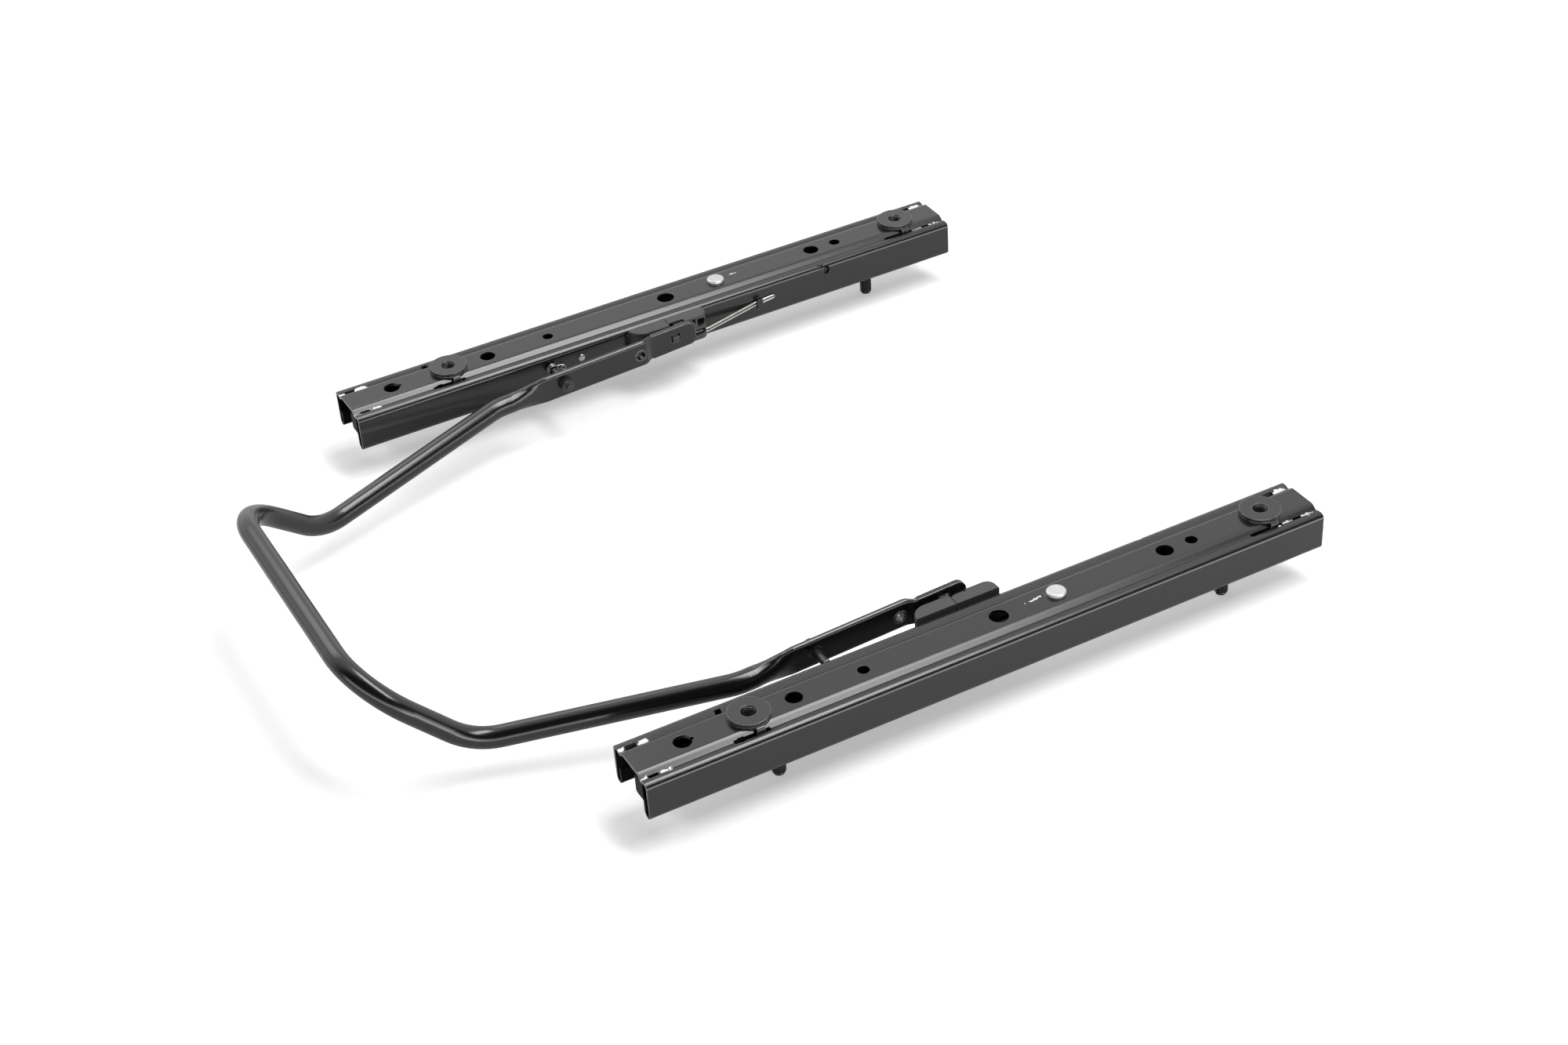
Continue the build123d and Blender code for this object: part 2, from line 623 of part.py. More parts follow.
def make_pin_spring(name, side):
    """The bright coil around the pin between the rail's wall and the lever."""
    pitch = coil_wire + 0.35
    coil = pin_dia / 2 + 0.25 + coil_wire / 2
    with BuildPart() as spring:
        with BuildLine() as path:
            Helix(pitch=pitch, height=pitch * coil_turns, radius=coil,
                  center=(pivot_x, side * (inner_wall_y - coil_wire / 2 - 0.2), pivot_z), direction=(0, -side, 0))
        with BuildSketch(Plane(origin=path.line @ 0, z_dir=path.line % 0)):
            Circle(coil_wire / 2)
        sweep(path=path.line, is_frenet=True)
    spring.part.label = name
    export_step(spring.part, f"parts/{name}.step")


def make_wall_rivet(name, side):
    """A small bright rivet in the inner wall behind the pivot."""
    with BuildPart() as rivet:
        with BuildSketch(facing_y(side * inner_wall_y)):
            with Locations((wall_rivet_x, wall_rivet_z)):
                Circle(2.4)
        extrude(amount=1.4 * side, dir=(0, -1, 0))
        fillet(rivet.faces().sort_by(Axis.Y)[0 if side > 0 else -1].edges(), 0.9)
        with BuildSketch(facing_y(side * wall_inside_y)):
            with Locations((wall_rivet_x, wall_rivet_z)):
                Circle(1.5)
        extrude(amount=t * side, dir=(0, -1, 0))
    rivet.part.label = name
    export_step(rivet.part, f"parts/{name}.step")


def lever_height(x):
    """Height of the lever's middle line at x."""
    return arm_knee[2] + (x - arm_knee[0]) * lever_slope


def lever_section(x, y):
    """A sketch plane across the lever at x: its first axis is Y and its second is Z."""
    return Plane(origin=(x, y, lever_height(x)), x_dir=(0, 1, 0), z_dir=(1, 0, 0))


def make_handle(name):
    """The handle loop: one round tube whose ends are flattened into the two latch levers."""
    def on_side(p, side):
        return (p[0], side * p[1], p[2])

    points = [arm_end, arm_knee, loop_bend, loop_corner]
    points = points + [on_side(p, -1) for p in reversed(points)]
    radii = [0, knee_radius, bend_radius, corner_radius, corner_radius, bend_radius, knee_radius, 0]
    arm_dir = Vector(*arm_end) - Vector(*arm_knee)
    r = tube_dia / 2
    with BuildPart() as handle:
        with BuildLine() as path:
            rounded_path(points, radii)
        start = Plane(origin=path.line @ 0, z_dir=path.line % 0)
        with BuildSketch(start):
            Circle(r)
        sweep(path=path.line)
        for side in (1, -1):
            # round tube pressed flat, its outline in four arcs that match the flat one's sides
            with BuildSketch(Plane(origin=on_side(arm_end, side), x_dir=(0, 1, 0), z_dir=arm_dir)):
                with BuildLine():
                    for turn in (45, 135, 225, 315):
                        CenterArc((0, 0), r, turn, 90)
                make_face()
            with BuildSketch(lever_section(lever_flat_from, side * arm_end[1])):
                SlotOverall(lever_high, lever_thick, rotation=90)
            loft()
            with BuildSketch(lever_section(lever_flat_from, side * arm_end[1])):
                SlotOverall(lever_high, lever_thick, rotation=90)
            with BuildSketch(lever_section(joggle_from - joggle_ease, side * arm_end[1])):
                SlotOverall(lever_high, lever_thick, rotation=90)
            loft()
            # the joggle, eased in and out in short steps
            steps = [(joggle_from - joggle_ease, 0.0), (joggle_from + joggle_ease / 3, 0.14),
                     (joggle_to - joggle_ease / 3, 0.86), (joggle_to + joggle_ease, 1.0)]
            for a, b in zip(steps, steps[1:]):
                for x, share in (a, b):
                    with BuildSketch(lever_section(x, side * (arm_y + (lever_end_y - arm_y) * share))):
                        SlotOverall(lever_high + (lever_end_high - lever_high) * share,
                                    lever_thick + (lever_end_thick - lever_thick) * share, rotation=90)
                loft()
            # end plate with its rounded tip
            half_high = lever_end_high / 2
            plate_x = joggle_to + joggle_ease
            z0, z1 = lever_height(plate_x), lever_height(lever_tip)
            with BuildSketch(facing_y(side * lever_end_y)):
                with BuildLine():
                    rounded_path([(plate_x, z0 - half_high), (lever_tip - 0.6, z1 - half_high + 0.6),
                                  (lever_tip, z1 + half_high), (plate_x, z0 + half_high)],
                                 [0, 4.0, 6.0, 0], closed=True)
                make_face()
            extrude(amount=lever_end_thick / 2, both=True)
            # raised rim around the small hole
            with BuildSketch(facing_y(side * arm_end[1])):
                with Locations((small_hole_x, small_hole_z)):
                    Circle(small_hole_dia / 2 + 1.1)
            extrude(amount=lever_thick / 2 + 0.5, both=True)
            # holes: pivot bush, small hole, latch tab
            with BuildSketch(facing_y(side * arm_end[1])):
                with Locations((pivot_x, pivot_z)):
                    Circle((bush_dia + hole_clear) / 2)
                with Locations((small_hole_x, small_hole_z)):
                    Circle(small_hole_dia / 2)
                with Locations((latch_at, lever_hole_z)):
                    RectangleRounded(lever_hole_long, lever_hole_high, 0.7)
            extrude(amount=6, both=True, mode=Mode.SUBTRACT)
        # the tube's bore, with a drain hole on the inside of each corner bend
        with BuildSketch(start):
            Circle(r - tube_wall)
        sweep(path=path.line, mode=Mode.SUBTRACT)
        for side in (1, -1):
            corner = Vector(*on_side(loop_corner, side))
            a = (Vector(*on_side(loop_bend, side)) - corner).normalized()
            b = Vector(0, -side, 0)
            inward = (a + b).normalized()
            angle = math.radians(a.get_angle(b))
            centre = corner + inward * (corner_radius / math.sin(angle / 2) - corner_radius)
            with BuildSketch(Plane(origin=centre, z_dir=inward)):
                Circle(1.5)
            extrude(amount=tube_dia, mode=Mode.SUBTRACT)
    handle.part.label = name
    export_step(handle.part, f"parts/{name}.step")


def make_bushes(name):
    """The two flanged bushes pressed into the levers."""
    with BuildPart() as bushes:
        for side in (1, -1):
            face = arm_end[1] - lever_thick / 2
            with BuildSketch(facing_y(side * (face + lever_thick))):
                with Locations((pivot_x, pivot_z)):
                    Circle(bush_dia / 2)
            extrude(amount=lever_thick * side, dir=(0, -1, 0))
            with BuildSketch(facing_y(side * face)):
                with Locations((pivot_x, pivot_z)):
                    Circle(bush_flange_dia / 2)
            extrude(amount=bush_flange_thick * side, dir=(0, -1, 0))
        with BuildSketch(facing_y(0)):
            with Locations((pivot_x, pivot_z)):
                Circle(pin_dia / 2 + running_clear)
        extrude(amount=200, both=True, mode=Mode.SUBTRACT)
    bushes.part.label = name
    export_step(bushes.part, f"parts/{name}.step")


def make_floor_studs(name):
    """The four floor studs, their flat heads inside the lower rails."""
    spots = [(x, side * rail_y) for x in stud_xs for side in (-1, 1)]
    with BuildPart() as studs:
        with BuildSketch(Plane.XY.offset(-stud_below)):
            with Locations(*spots):
                Circle(stud_dia / 2)
        extrude(amount=stud_below)
        chamfer(studs.faces().group_by(Axis.Z)[0].edges(), 0.9)
        with BuildSketch(Plane.XY):
            with Locations(*spots):
                Circle(stud_neck_dia / 2)
        extrude(amount=lower_sheet)
        with BuildSketch(Plane.XY.offset(lower_sheet)):
            with Locations(*spots):
                Circle(stud_head_dia / 2)
        extrude(amount=stud_head_high)
    studs.part.label = name
    export_step(studs.part, f"parts/{name}.step")


os.makedirs("parts", exist_ok=True)
for label, side in (("left", -1), ("right", 1)):
    make_upper_rail(f"{label}_upper_rail", side)
    make_lower_rail(f"{label}_lower_rail", side)
    make_seat_nuts(f"{label}_bolt_discs", side)
    make_stop_block(f"{label}_stop_block", side)
    make_stop_rivet(f"{label}_stop_rivet", side)
    make_cage(f"{label}_ball_cage", side)
    make_balls(f"{label}_track_balls", side)
    make_housing(f"{label}_latch_housing", side, housing_front, housing_seam)
    make_housing(f"{label}_housing_cap", side, housing_seam, housing_rear)
    make_lock_plate(f"{label}_lock_plate", side)
    make_latch_spring(f"{label}_latch_spring", side)
    make_pivot_pin(f"{label}_pivot_pin", side)
    make_pin_clip(f"{label}_pin_clip", side)
    make_pin_spring(f"{label}_pin_coil", side)
    make_wall_rivet(f"{label}_wall_rivet", side)
make_handle("handle_loop")
make_bushes("lever_bushes")
make_floor_studs("floor_studs")
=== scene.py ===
import math

import bmesh
import bpy
from mathutils import Matrix, Vector


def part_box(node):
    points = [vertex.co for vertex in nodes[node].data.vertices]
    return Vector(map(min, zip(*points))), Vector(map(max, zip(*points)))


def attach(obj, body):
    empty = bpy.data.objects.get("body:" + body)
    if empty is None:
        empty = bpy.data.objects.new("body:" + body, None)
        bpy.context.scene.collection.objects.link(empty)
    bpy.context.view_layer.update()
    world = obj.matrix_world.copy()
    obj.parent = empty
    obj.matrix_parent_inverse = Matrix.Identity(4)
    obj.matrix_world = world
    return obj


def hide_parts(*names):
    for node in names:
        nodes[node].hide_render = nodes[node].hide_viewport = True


# Seat slide rails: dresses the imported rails, latches and handle loop with finishes, bare metal
# marks, screw threads and spring hooks, and sets up the camera and the studio. Lengths are in
# metres, in the part's own frame: X runs from the rails' front to their rear, and Z is up.

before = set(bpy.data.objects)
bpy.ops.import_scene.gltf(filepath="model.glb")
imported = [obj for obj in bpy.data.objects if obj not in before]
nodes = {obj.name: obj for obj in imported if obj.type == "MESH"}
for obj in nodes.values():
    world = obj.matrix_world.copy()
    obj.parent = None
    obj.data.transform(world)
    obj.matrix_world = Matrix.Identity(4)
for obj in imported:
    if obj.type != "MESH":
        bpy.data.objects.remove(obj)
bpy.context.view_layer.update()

MM = 0.001
SIDES = {"left": -1, "right": 1}

# Places read from the frame

upper_low, upper_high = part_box("right_upper_rail")
lower_low, lower_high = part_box("right_lower_rail")
disc_low, disc_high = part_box("right_bolt_discs")
DISC_RADIUS = 12 * MM
rail_front = upper_low.x
rail_rear = upper_high.x
rail_y = (lower_low.y + lower_high.y) / 2
disc_xs = (disc_low.x + DISC_RADIUS, disc_high.x - DISC_RADIUS)
floor_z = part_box("floor_studs")[0].z
housing_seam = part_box("left_housing_cap")[0].x


def add_piece(name, data):
    """A new object for a mesh, curve, lamp or camera, linked to the scene."""
    piece = bpy.data.objects.new(name, data)
    bpy.context.scene.collection.objects.link(piece)
    return piece


def smooth_mesh(mesh):
    mesh.polygons.foreach_set("use_smooth", [True] * len(mesh.polygons))


# Camera: its direction in degrees, its place in metres, and its lens in pixels of the photograph

CAMERA_AZIMUTH = -25.7
CAMERA_ELEVATION = 35.73
CAMERA_ROLL = -4.54
CAMERA_TARGET = Vector((-0.017, 0.0, 0.011))
CAMERA_OFFSET = (0.02403, 0.03286)
CAMERA_DISTANCE = 1.58998
PHOTO_WIDTH = 2000
FOCAL_PIXELS = 3362.96
PRINCIPAL_RIGHT, PRINCIPAL_DOWN = -29.38, 1.79
SENSOR_WIDTH = 36


def add_camera():
    azimuth = math.radians(CAMERA_AZIMUTH)
    elevation = math.radians(CAMERA_ELEVATION)
    roll = math.radians(CAMERA_ROLL)
    level = Vector((math.cos(azimuth), math.sin(azimuth), 0))
    back = Vector((math.sin(azimuth) * math.cos(elevation),
                   -math.cos(azimuth) * math.cos(elevation),
                   math.sin(elevation)))
    upright = back.cross(level)
    right = level * math.cos(roll) + upright * math.sin(roll)
    up = upright * math.cos(roll) - level * math.sin(roll)
    place = CAMERA_TARGET - right * CAMERA_OFFSET[0] - up * CAMERA_OFFSET[1] + back * CAMERA_DISTANCE
    data = bpy.data.cameras.new("photo_camera")
    data.sensor_width = SENSOR_WIDTH
    data.lens = FOCAL_PIXELS * SENSOR_WIDTH / PHOTO_WIDTH
    data.shift_x = -PRINCIPAL_RIGHT / PHOTO_WIDTH
    data.shift_y = PRINCIPAL_DOWN / PHOTO_WIDTH
    data.clip_start = 0.05
    data.clip_end = 30
    camera = add_piece("photo_camera", data)
    turn = Matrix((right, up, back)).transposed().to_4x4()
    camera.matrix_world = Matrix.Translation(place) @ turn
    bpy.context.scene.camera = camera


# Shader helpers

def new_material(name):
    material = bpy.data.materials.new(name)
    material.use_nodes = True
    tree = material.node_tree
    return material, tree, tree.nodes["Principled BSDF"]


def fill(tree, made, **values):
    """Fills a node's inputs with outputs or plain values, by name or, as _0, _1, by number."""
    for key, value in values.items():
        socket = made.inputs[int(key[1:])] if key[0] == "_" else made.inputs[key.replace("_", " ")]
        if isinstance(value, bpy.types.NodeSocket):
            tree.links.new(value, socket)
        else:
            socket.default_value = value
    return made


def node(tree, kind, **inputs):
    """A new shader node with some of its inputs filled."""
    return fill(tree, tree.nodes.new(kind), **inputs)


def maths(tree, operation, a, b=0.0):
    made = node(tree, "ShaderNodeMath", _0=a, _1=b)
    made.operation = operation
    return made.outputs[0]


def vector_maths(tree, operation, *values):
    made = node(tree, "ShaderNodeVectorMath", **{f"_{i}": value for i, value in enumerate(values)})
    made.operation = operation
    return made.outputs["Value" if operation == "DOT_PRODUCT" else "Vector"]


def ramp(tree, value, low, high, to_low=0.0, to_high=1.0):
    """Maps low to high onto to_low to to_high, and stays at either beyond."""
    return node(tree, "ShaderNodeMapRange", _0=value, _1=low, _2=high, _3=to_low, _4=to_high).outputs[0]


MIX_SOCKETS = {"FLOAT": ("_2", "_3", 0), "VECTOR": ("_4", "_5", 1), "RGBA": ("_6", "_7", 2)}


def mix(tree, kind, amount, a, b):
    """From a to b by amount."""
    made = tree.nodes.new("ShaderNodeMix")
    made.data_type = kind
    first, second, result = MIX_SOCKETS[kind]
    fill(tree, made, **{"_0": amount, first: a, second: b})
    return made.outputs[result]


def mix_colour(tree, amount, a, b):
    return mix(tree, "RGBA", amount, a, b)


def mix_value(tree, amount, a, b):
    return mix(tree, "FLOAT", amount, a, b)


def noise(tree, place, scale, detail, roughness=0.5):
    """Noise of so many grains a metre."""
    return node(tree, "ShaderNodeTexNoise", Vector=place, Scale=scale, Detail=detail,
                Roughness=roughness).outputs


def object_place(tree):
    return node(tree, "ShaderNodeTexCoord").outputs["Object"]


def split(tree, vector):
    """The X, Y and Z outputs of a vector."""
    return node(tree, "ShaderNodeSeparateXYZ", Vector=vector).outputs


def rounded_normal(tree, radius, samples):
    """The normal as if sharp edges were rounded."""
    made = node(tree, "ShaderNodeBevel", Radius=radius)
    made.samples = samples
    return made.outputs[0]


def new_group(name, inputs, outputs):
    """A shader node group with named sockets. Returns its tree, its inputs and its end."""
    group = bpy.data.node_groups.new(name, "ShaderNodeTree")
    for label, kind, value in inputs:
        group.interface.new_socket(label, in_out="INPUT", socket_type=kind).default_value = value
    for label, kind in outputs:
        group.interface.new_socket(label, in_out="OUTPUT", socket_type=kind)
    return group, group.nodes.new("NodeGroupInput").outputs, group.nodes.new("NodeGroupOutput")


def place_group(tree, group, **inputs):
    made = tree.nodes.new("ShaderNodeGroup")
    made.node_tree = group
    return fill(tree, made, **inputs).outputs


# Surface effects that several finishes share

FLOAT, VECTOR = "NodeSocketFloat", "NodeSocketVector"

# A noise's middle, and the values between which most of it lies
NOISE_MIDDLE, NOISE_SPAN = 0.5, (0.3, 0.7)

PEEL_SCALE, PEEL_SHARE = 900.0, 0.25
CLOUD_SCALE = 28.0
STREAK_SCALE, STREAK_LENGTH = 600.0, 120.0


def make_coat_texture():
    """Orange peel and drawn streaks along X, as on a dipped and baked black coat."""
    group, given, end = new_group("coat_texture", [("Streak amount", FLOAT, 1.0)],
                                  [("Height", FLOAT), ("Cloud", FLOAT), ("Streaks", FLOAT)])
    place = object_place(group)
    peel = noise(group, place, PEEL_SCALE, detail=2.0, roughness=0.45)[0]
    cloud = noise(group, place, CLOUD_SCALE, detail=3.0, roughness=0.55)[0]
    pulled = vector_maths(group, "MULTIPLY", place, (1 / STREAK_LENGTH, 1.0, 1.0))
    streaks = noise(group, pulled, STREAK_SCALE, detail=3.0, roughness=0.6)[0]
    lines = mix_value(group, given["Streak amount"], NOISE_MIDDLE, streaks)
    height = maths(group, "ADD", maths(group, "MULTIPLY", peel, PEEL_SHARE), lines)
    fill(group, end, Height=height, Cloud=cloud, Streaks=lines)
    return group


# Cosines between the true and the rounded normal where wear starts and where it is full
WEAR_STARTS, WEAR_FULL = 0.985, 0.80
WEAR_SCALE = 350.0
WEAR_BREAKS = (0.30, 0.62)


def make_worn_lit_edges():
    """1 on sharp outer edges, where handling rubs the coat thin and where a painted highlight lines the
    edges, broken up by noise.
    """
    group, given, end = new_group("worn_lit_edges", [("Radius", FLOAT, 0.4 * MM), ("Amount", FLOAT, 1.0)],
                                  [("Mask", FLOAT)])
    soft = rounded_normal(group, given["Radius"], samples=6)
    flat = node(group, "ShaderNodeNewGeometry").outputs["Normal"]
    edge = ramp(group, vector_maths(group, "DOT_PRODUCT", soft, flat), WEAR_STARTS, WEAR_FULL)
    speckle = noise(group, object_place(group), WEAR_SCALE, detail=3.0)[0]
    broken = ramp(group, speckle, *WEAR_BREAKS)
    mask = maths(group, "MULTIPLY", maths(group, "MULTIPLY", edge, broken), given["Amount"])
    fill(group, end, Mask=mask)
    return group


# A bare mark's outline: a noise that grows or shrinks it, one that pulls it about, and its rim
RAG_SCALE, RAG_NOISE, RAG_SIZE = 330.0, (0.32, 0.68), (0.12, 7.0)
TEAR_SCALE, TEAR_REACH = 380.0, (7.0 * MM, 4.5 * MM, 0.0)
MARK_SQUARENESS, MARK_OUTSIDE, MARK_INSIDE = 4.0, 1.10, 0.85


def make_bare_mark():
    """A torn patch round a point of the part's frame, where the coat is missing; 1 inside."""
    group, given, end = new_group(
        "bare_mark", [("Centre", VECTOR, (0, 0, 0)), ("Half size", VECTOR, (4 * MM, 2 * MM, 2 * MM))],
        [("Mask", FLOAT)])
    place = object_place(group)
    rags = noise(group, place, RAG_SCALE, detail=4.0, roughness=0.65)[0]
    ragged = ramp(group, rags, *RAG_NOISE, *RAG_SIZE)
    torn = noise(group, place, TEAR_SCALE, detail=3.0, roughness=0.6)["Color"]
    pulled = vector_maths(group, "SUBTRACT", torn, (NOISE_MIDDLE, NOISE_MIDDLE, NOISE_MIDDLE))
    moved = vector_maths(group, "MULTIPLY_ADD", pulled, TEAR_REACH, place)
    apart = vector_maths(group, "SUBTRACT", moved, given["Centre"])
    share = vector_maths(group, "ABSOLUTE", vector_maths(group, "DIVIDE", apart, given["Half size"]))
    along, aside, above = split(group, share)
    sideways = maths(group, "MAXIMUM", aside, above)
    far = maths(group, "ADD", maths(group, "POWER", along, MARK_SQUARENESS),
                maths(group, "POWER", sideways, MARK_SQUARENESS))
    mask = ramp(group, maths(group, "MULTIPLY", far, ragged), MARK_OUTSIDE, MARK_INSIDE)
    fill(group, end, Mask=mask)
    return group


INSIDE_HALF, INSIDE_TOP, INSIDE_BOTTOM = 18.4 * MM, 22.6 * MM, 1.0 * MM


def make_rail_inside():
    """1 on the hidden faces inside a rail's section."""
    group, given, end = new_group("rail_inside", [("Centre line", FLOAT, 0.0)], [("Mask", FLOAT)])
    _, y, z = split(group, object_place(group))
    away = maths(group, "ABSOLUTE", maths(group, "SUBTRACT", y, given["Centre line"]))
    within = maths(group, "LESS_THAN", away, INSIDE_HALF)
    below = maths(group, "MULTIPLY", within, maths(group, "LESS_THAN", z, INSIDE_TOP))
    mask = maths(group, "MULTIPLY", below, maths(group, "GREATER_THAN", z, INSIDE_BOTTOM))
    fill(group, end, Mask=mask)
    return group


# An upper rail's section, with the fuller bend that its shading has
RAIL_HALF, SHOULDER_TOP, BEND_RADIUS = 20.0 * MM, 25.0 * MM, 3.8 * MM
# The grooves' outer slopes lie beyond this distance from the centre line and lean back towards it
GROOVE_MIDDLE, GROOVE_LEAN = 12.0 * MM, (-0.06, -0.16)
# Shares of the bend over which it blends in, from the top and from the wall
BEND_IN_TOP, BEND_IN_WALL = (0.0, 0.3), (0.0, 0.1)
# Cosines between the true and the bend's normal where the bend starts to count and fully counts
BEND_AGREES = (0.6, 0.8)


def make_rail_section():
    """Places on an upper rail's section. Groove side is 1 on the outer slope of either groove.
    Bend is 1 along the outer bends, where Bend normal turns as on a bend of BEND_RADIUS."""
    group, given, end = new_group("rail_section", [("Centre line", FLOAT, 0.0)],
                                  [("Groove side", FLOAT), ("Bend", FLOAT), ("Bend normal", VECTOR)])
    coords = node(group, "ShaderNodeTexCoord").outputs
    _, y, z = split(group, coords["Object"])
    across = maths(group, "SUBTRACT", y, given["Centre line"])
    away = maths(group, "ABSOLUTE", across)
    way = maths(group, "SIGN", across)
    outward = maths(group, "MULTIPLY", way, split(group, coords["Normal"])[1])
    beyond = maths(group, "GREATER_THAN", away, GROOVE_MIDDLE)
    groove = maths(group, "MULTIPLY", ramp(group, outward, *GROOVE_LEAN), beyond)
    lean = ramp(group, away, RAIL_HALF - BEND_RADIUS, RAIL_HALF)
    rise = ramp(group, z, SHOULDER_TOP - BEND_RADIUS, SHOULDER_TOP)
    turned = node(group, "ShaderNodeCombineXYZ", Y=maths(group, "MULTIPLY", lean, way), Z=rise)
    normal = vector_maths(group, "NORMALIZE", turned.outputs[0])
    agree = vector_maths(group, "DOT_PRODUCT", normal, coords["Normal"])
    reach = maths(group, "MULTIPLY", ramp(group, lean, *BEND_IN_TOP), ramp(group, rise, *BEND_IN_WALL))
    bend = maths(group, "MULTIPLY", reach, ramp(group, agree, *BEND_AGREES))
    fill(group, end, Groove_side=groove, Bend=bend, Bend_normal=normal)
    return group


coat_texture = make_coat_texture()
rail_section = make_rail_section()
rail_inside = make_rail_inside()
worn_lit_edges = make_worn_lit_edges()
bare_mark = make_bare_mark()

# Finishes

COAT_DARK, COAT_LIGHT, COAT_IOR = (0.8, 0.78, 0.8), (1.35, 1.32, 1.34), 1.52
# The light grey on sharp edges is partly rubbed coat and partly a painted highlight along the edges
WORN_LIT_COAT, WORN_GLOSS = (0.34, 0.336, 0.33, 1), 0.38
WEAR_LEAST, WEAR_MOST = 0.3 * MM, 0.9 * MM
BARE_STEEL, DULL_STEEL, BARE_GLOSS = (0.88, 0.87, 0.85, 1), (0.42, 0.415, 0.41, 1), 0.30
# Painted shade for the hidden faces inside a rail: a near-black metal that reflects almost nothing
INSIDE_SHADE, INSIDE_SHADE_GLOSS = (0.006, 0.006, 0.006, 1), 0.6
GROOVE_GLOSS = 0.62
# The normal's upward part where a face starts to count and fully counts as a top
TOP_FACING = (0.90, 0.98)


def bump(tree, height, distance, strength, edge=0.0, section=None):
    """Surface relief, over edges rounded by a radius and over a rail section's fuller bends."""
    made = node(tree, "ShaderNodeBump", Strength=strength, Distance=distance, Height=height)
    if edge:
        normal = rounded_normal(tree, edge, samples=8)
        if section is not None:
            normal = mix(tree, "VECTOR", section["Bend"], normal, section["Bend normal"])
        fill(tree, made, Normal=normal)
    return made.outputs[0]


def toned(tone, colour):
    return (*(tone * part for part in colour), 1)


def uneven(tree, pattern, rough, less, more):
    """A roughness that follows a noise, from less below rough to more above it."""
    return ramp(tree, pattern, *NOISE_SPAN, rough - less, rough + more)


def rail_coat(name, marks=(), tone=0.007, rough=0.22, streaks=0.0, edge=0.3 * MM, wear=0.35,
              inside_y=None):
    """Baked black coat on steel, with bare marks left by the press tools. It has painted shade, near
    black and dull, inside a rail whose centre line is inside_y."""
    material, tree, shader = new_material(name)
    facing_up = split(tree, node(tree, "ShaderNodeTexCoord").outputs["Normal"])[2]
    on_top = ramp(tree, facing_up, *TOP_FACING, 0.0, streaks)
    texture = place_group(tree, coat_texture, Streak_amount=on_top)
    reach = min(WEAR_MOST, max(WEAR_LEAST, edge))
    worn_lit = place_group(tree, worn_lit_edges, Radius=reach, Amount=wear)["Mask"]
    base = mix_colour(tree, texture["Cloud"], toned(tone, COAT_DARK), toned(tone, COAT_LIGHT))
    # Lighter edges: partly wear, partly a painted highlight
    base = mix_colour(tree, worn_lit, base, WORN_LIT_COAT)
    gloss = uneven(tree, texture["Streaks"], rough, less=0.03, more=0.05)
    gloss = mix_value(tree, worn_lit, gloss, WORN_GLOSS)
    bare = section = None
    for centre, half in marks:
        mark = place_group(tree, bare_mark, Centre=centre, Half_size=half)["Mask"]
        bare = mark if bare is None else maths(tree, "MAXIMUM", bare, mark)
    if bare is not None:
        steel = mix_colour(tree, texture["Streaks"], BARE_STEEL, DULL_STEEL)
        base = mix_colour(tree, bare, base, steel)
        gloss = mix_value(tree, bare, gloss, BARE_GLOSS)
    if inside_y is not None:
        section = place_group(tree, rail_section, Centre_line=inside_y)
        gloss = mix_value(tree, section["Groove side"], gloss, GROOVE_GLOSS)
        # Painted shade on the hidden faces inside the rail: near black and dull
        inside = place_group(tree, rail_inside, Centre_line=inside_y)["Mask"]
        base = mix_colour(tree, inside, base, INSIDE_SHADE)
        gloss = mix_value(tree, inside, gloss, INSIDE_SHADE_GLOSS)
        # The painted shade inside the rail also goes into the metallic share, so almost nothing is
        # reflected there
        bare = inside if bare is None else maths(tree, "MAXIMUM", bare, inside)
    if bare is not None:
        fill(tree, shader, Metallic=bare)
    relief = bump(tree, texture["Height"], distance=0.01 * MM, strength=0.10, edge=edge,
                  section=section)
    fill(tree, shader, Base_Color=base, Roughness=gloss, IOR=COAT_IOR, Normal=relief)
    return material


GROOVE_OFFSET, GROOVE_HEIGHT, MARK_HALF_DEPTH = 13.4 * MM, 24.4 * MM, 1.8 * MM
# Marks along a groove: place along X, half length and half width
GROOVE_MARKS = (
    (rail_front + 1.6 * MM, 2.6 * MM, 1.2 * MM),
    (rail_front + 14.6 * MM, 4.6 * MM, 1.5 * MM),
    (rail_rear - 21.5 * MM, 4.6 * MM, 1.0 * MM),
    (rail_rear - 7.0 * MM, 6.0 * MM, 1.3 * MM),
)
# The scratch beside a stop rivet: place along X, off the centre line, and half length
CROWN_SCRATCH = {
    "left": (rail_front + 249.0 * MM, 1.8 * MM, 6.4 * MM),
    "right": (rail_front + 276.0 * MM, 2.6 * MM, 3.6 * MM),
}
CROWN_HEIGHT, SCRATCH_HALF_WIDTH, SCRATCH_HALF_DEPTH = 26.6 * MM, 0.8 * MM, 0.6 * MM


def rail_marks(side):
    """Bare marks of one upper rail, each as its centre and half size."""
    centre_y = SIDES[side] * rail_y
    marks = []
    for groove in (-GROOVE_OFFSET, GROOVE_OFFSET):
        for x, half_length, half_width in GROOVE_MARKS:
            marks.append(((x, centre_y + groove, GROOVE_HEIGHT),
                          (half_length, half_width, MARK_HALF_DEPTH)))
    x, off_centre, half_length = CROWN_SCRATCH[side]
    marks.append(((x, centre_y + off_centre, CROWN_HEIGHT),
                  (half_length, SCRATCH_HALF_WIDTH, SCRATCH_HALF_DEPTH)))
    return marks


HOUSING_DARK, HOUSING_LIGHT = (0.026, 0.0255, 0.026, 1), (0.040, 0.0395, 0.040, 1)
HOUSING_WORN, HOUSING_GLOSS = (0.08, 0.079, 0.079, 1), (0.44, 0.56)
SEAM_HALF, SEAM_BLACK = 0.3 * MM, (0.002, 0.002, 0.002, 1)


